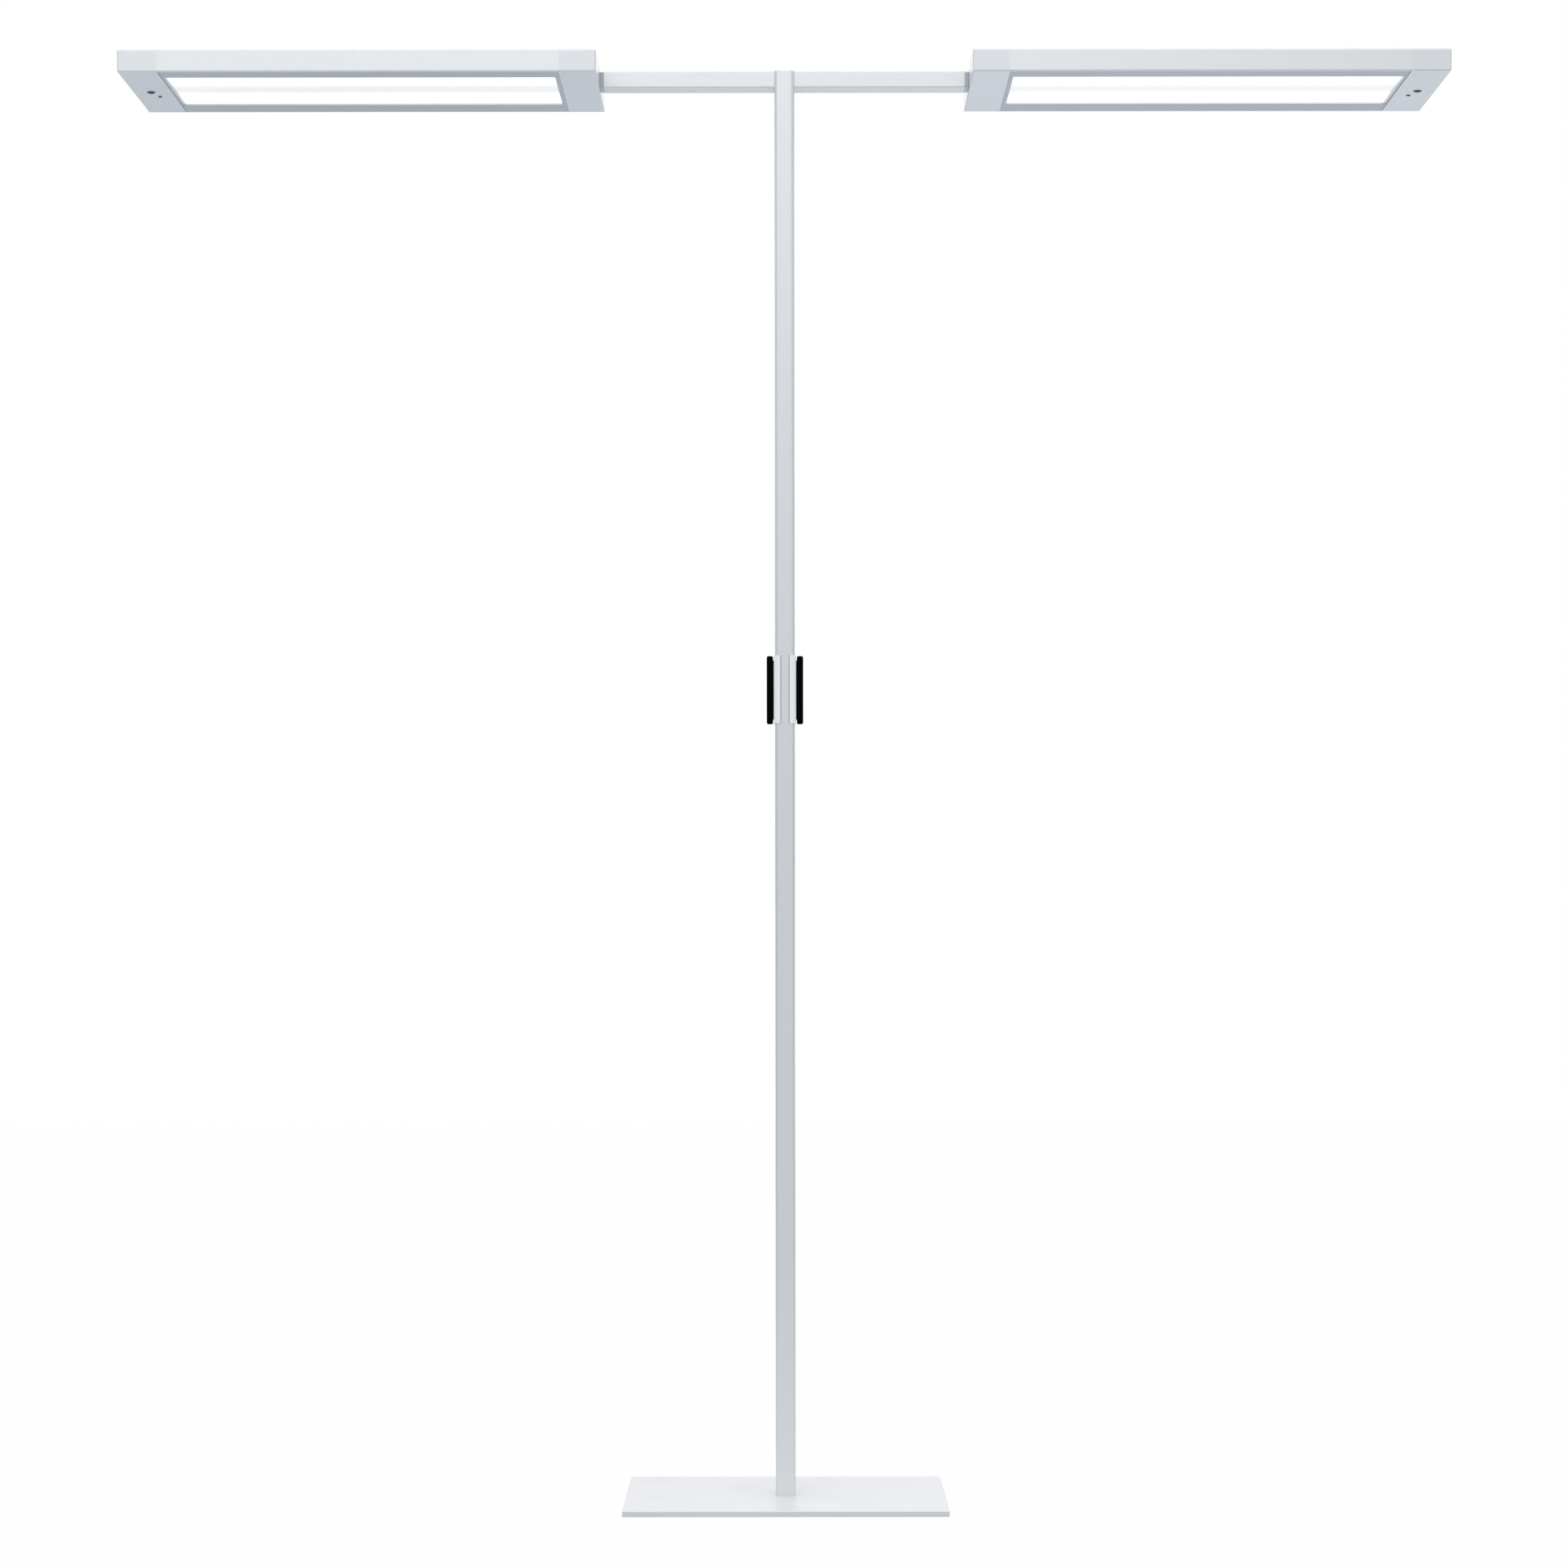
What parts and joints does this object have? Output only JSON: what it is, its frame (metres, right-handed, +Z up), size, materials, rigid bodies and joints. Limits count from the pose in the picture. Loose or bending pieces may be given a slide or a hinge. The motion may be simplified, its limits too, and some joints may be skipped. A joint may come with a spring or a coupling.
{
  "type": "office floor lamp",
  "caption": "Free-standing office lamp: a slender column on a flat base plate carries a flat rectangular light head on each side arm, with push pads at hand height.",
  "frame": {"origin": "on the floor, under the middle of the base plate", "axes": "+Z up along the column, +X along the right arm and head as seen from the front, +Y to the back"},
  "size_m": [1.7816, 0.305, 1.956],
  "materials": {
    "plate_paint": "fine-textured silver-grey powder coat on steel",
    "stand_silver": "silver-grey powder-coated extrusion",
    "head_silver": "silver-grey powder-coated extrusion",
    "block_silver": "silver-grey powder-coated casting",
    "inner_aluminium": "plain mill finish",
    "screw_steel": "zinc-plated steel",
    "cheek_grey": "satin light grey plastic",
    "pad_black": "fine-grained matt black plastic",
    "collar_grey": "satin mid grey friction collar",
    "black_plastic": "matt black plastic",
    "glide_rubber": "matt black rubber",
    "lead_jacket": "black cable jacket",
    "opal_acrylic": "opal acrylic, lit",
    "clear_acrylic": "frosted acrylic, lit",
    "circuit_board": "white circuit board",
    "driver_case": "white plastic case",
    "sensor_lens": "dark smoked plastic lens"
  },
  "bodies": {
    "stand": {"base_plate": "plate_paint", "base_glides": "glide_rubber", "base_screws": "screw_steel", "foot_block": "inner_aluminium", "foot_set_screws": "screw_steel", "column": "stand_silver", "cable_gland": "black_plastic", "wiring_loom": "lead_jacket", "crosshead": "inner_aluminium", "column_cap": "stand_silver", "cap_screws": "screw_steel", "arm_left": "stand_silver", "arm_right": "stand_silver", "arm_set_screws": "screw_steel", "arm_plug_left": "inner_aluminium", "arm_plug_right": "inner_aluminium", "spindle_left": "screw_steel", "spindle_right": "screw_steel", "washer_left": "collar_grey", "washer_right": "collar_grey", "pivot_nuts": "screw_steel", "switch_cheek_left": "cheek_grey", "switch_cheek_right": "cheek_grey", "switch_base_left": "black_plastic", "switch_base_right": "black_plastic", "switch_board": "circuit_board"},
    "head_left": {"left_rail_front": "head_silver", "left_rail_back": "head_silver", "left_inner_block": "block_silver", "left_outer_block": "block_silver", "left_top_cover": "head_silver", "left_uplight_covers": "clear_acrylic", "left_diffuser": "opal_acrylic", "left_led_tray": "inner_aluminium", "left_led_boards": "circuit_board", "left_driver": "driver_case", "left_presence_sensor": "sensor_lens", "left_light_sensor": "sensor_lens", "left_sensor_board": "circuit_board", "left_pivot_bush": "black_plastic", "left_head_screws": "screw_steel"},
    "head_right": {"right_rail_front": "head_silver", "right_rail_back": "head_silver", "right_inner_block": "block_silver", "right_outer_block": "block_silver", "right_top_cover": "head_silver", "right_uplight_covers": "clear_acrylic", "right_diffuser": "opal_acrylic", "right_led_tray": "inner_aluminium", "right_led_boards": "circuit_board", "right_driver": "driver_case", "right_presence_sensor": "sensor_lens", "right_light_sensor": "sensor_lens", "right_sensor_board": "circuit_board", "right_pivot_bush": "black_plastic", "right_head_screws": "screw_steel"},
    "pad_left": {"button_left": "pad_black"},
    "pad_right": {"button_right": "pad_black"}
  },
  "joints": [
    {"name": "tilt_left", "type": "hinge", "parent": "stand", "child": "head_left", "pos_m": [-0.2518, 0, 1.939], "axis": [1, 0, 0], "range_deg": [-15, 15]},
    {"name": "tilt_right", "type": "hinge", "parent": "stand", "child": "head_right", "pos_m": [0.2518, 0, 1.939], "axis": [1, 0, 0], "range_deg": [-15, 15]},
    {"name": "press_left", "type": "slide", "parent": "stand", "child": "pad_left", "axis": [1, 0, 0], "range_m": [0, 0.001], "stiffness_N_per_m": 1500},
    {"name": "press_right", "type": "slide", "parent": "stand", "child": "pad_right", "axis": [-1, 0, 0], "range_m": [0, 0.001], "stiffness_N_per_m": 1500}
  ]
}
